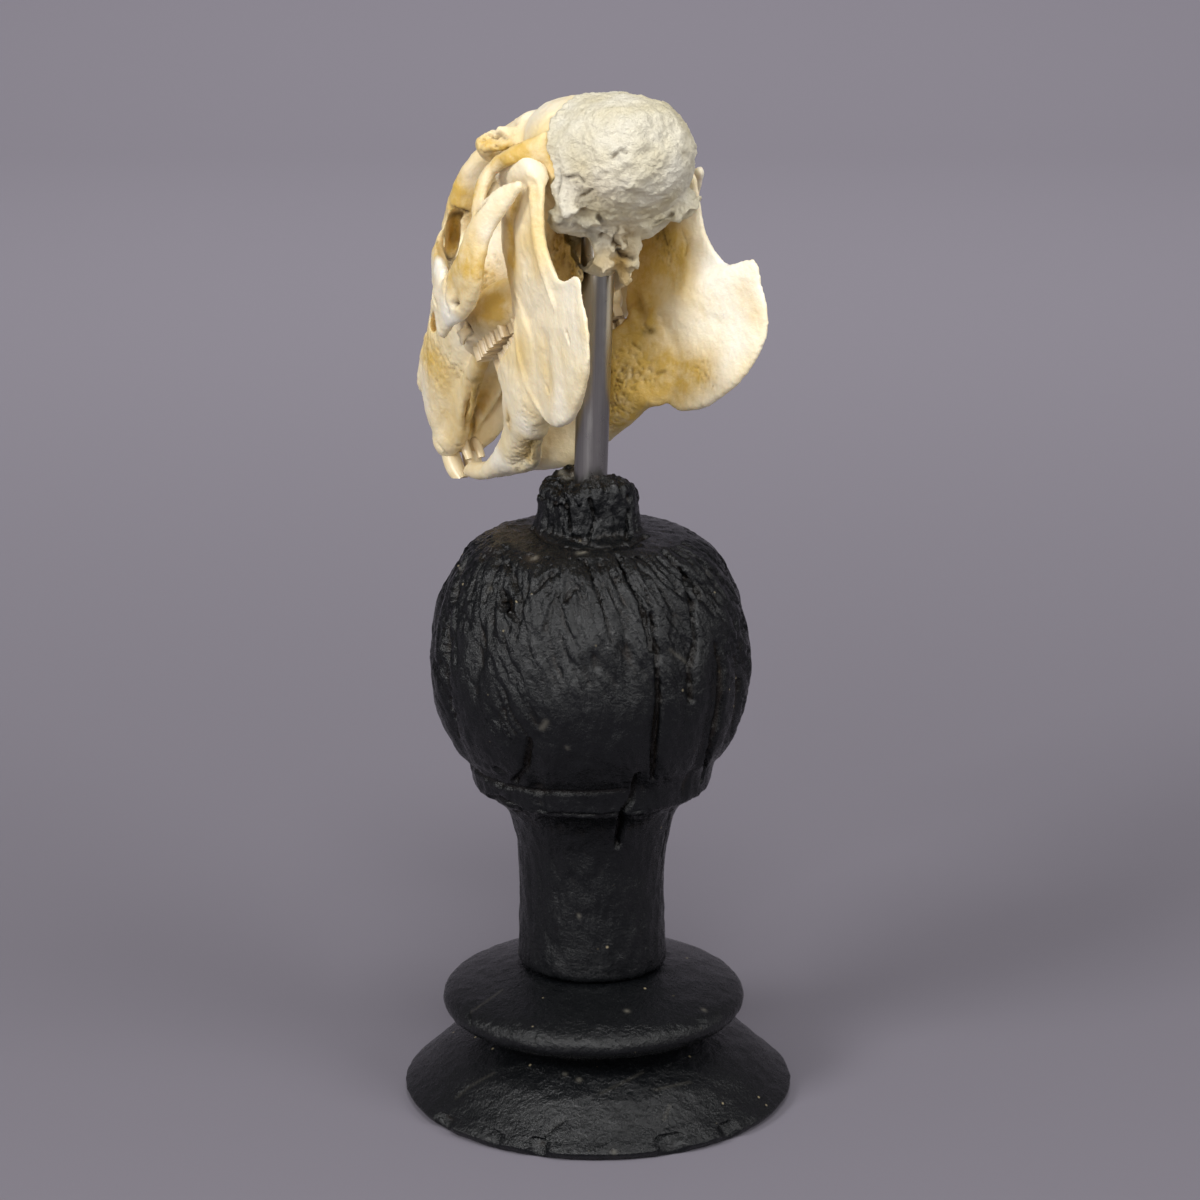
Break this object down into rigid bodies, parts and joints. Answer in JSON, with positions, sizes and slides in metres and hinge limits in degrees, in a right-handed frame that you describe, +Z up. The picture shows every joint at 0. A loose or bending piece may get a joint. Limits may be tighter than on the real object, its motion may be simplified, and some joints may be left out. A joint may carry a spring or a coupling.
{
  "type": "rabbit skull on a stand",
  "caption": "Rabbit skull with its lower jaws, a plaster-filled back of the head and a steel rod, on a turned blackened wooden stand.",
  "frame": {"origin": "centre of the stand's flat underside", "axes": "+Z up along the stand's axis, -Y towards the picture's viewer; the head faces towards +Y and -X, nose down"},
  "size_m": [0.0654, 0.0762, 0.1695],
  "materials": {
    "bone": "satin, dry bone",
    "tooth": "smooth enamel",
    "plaster": "rough, unpainted",
    "blackened_wood": "worn, waxed black",
    "steel": "lengthwise brushed"
  },
  "bodies": {
    "root": {"rod": "steel", "stand_column": "blackened_wood", "stand_foot": "blackened_wood", "plaster_fill": "plaster", "cranium": "bone", "mandible_left": "bone", "mandible_right": "bone", "upper_incisor_left": "tooth", "peg_tooth_left": "tooth", "lower_incisor_left": "tooth", "upper_cheek_tooth_left_1": "tooth", "upper_cheek_tooth_left_2": "tooth", "upper_cheek_tooth_left_3": "tooth", "upper_cheek_tooth_left_4": "tooth", "upper_cheek_tooth_left_5": "tooth", "upper_cheek_tooth_left_6": "tooth", "lower_cheek_tooth_left_1": "tooth", "lower_cheek_tooth_left_2": "tooth", "lower_cheek_tooth_left_3": "tooth", "lower_cheek_tooth_left_4": "tooth", "lower_cheek_tooth_left_5": "tooth", "upper_incisor_right": "tooth", "peg_tooth_right": "tooth", "lower_incisor_right": "tooth", "upper_cheek_tooth_right_1": "tooth", "upper_cheek_tooth_right_2": "tooth", "upper_cheek_tooth_right_3": "tooth", "upper_cheek_tooth_right_4": "tooth", "upper_cheek_tooth_right_5": "tooth", "upper_cheek_tooth_right_6": "tooth", "lower_cheek_tooth_right_1": "tooth", "lower_cheek_tooth_right_2": "tooth", "lower_cheek_tooth_right_3": "tooth", "lower_cheek_tooth_right_4": "tooth", "lower_cheek_tooth_right_5": "tooth"}
  },
  "joints": []
}
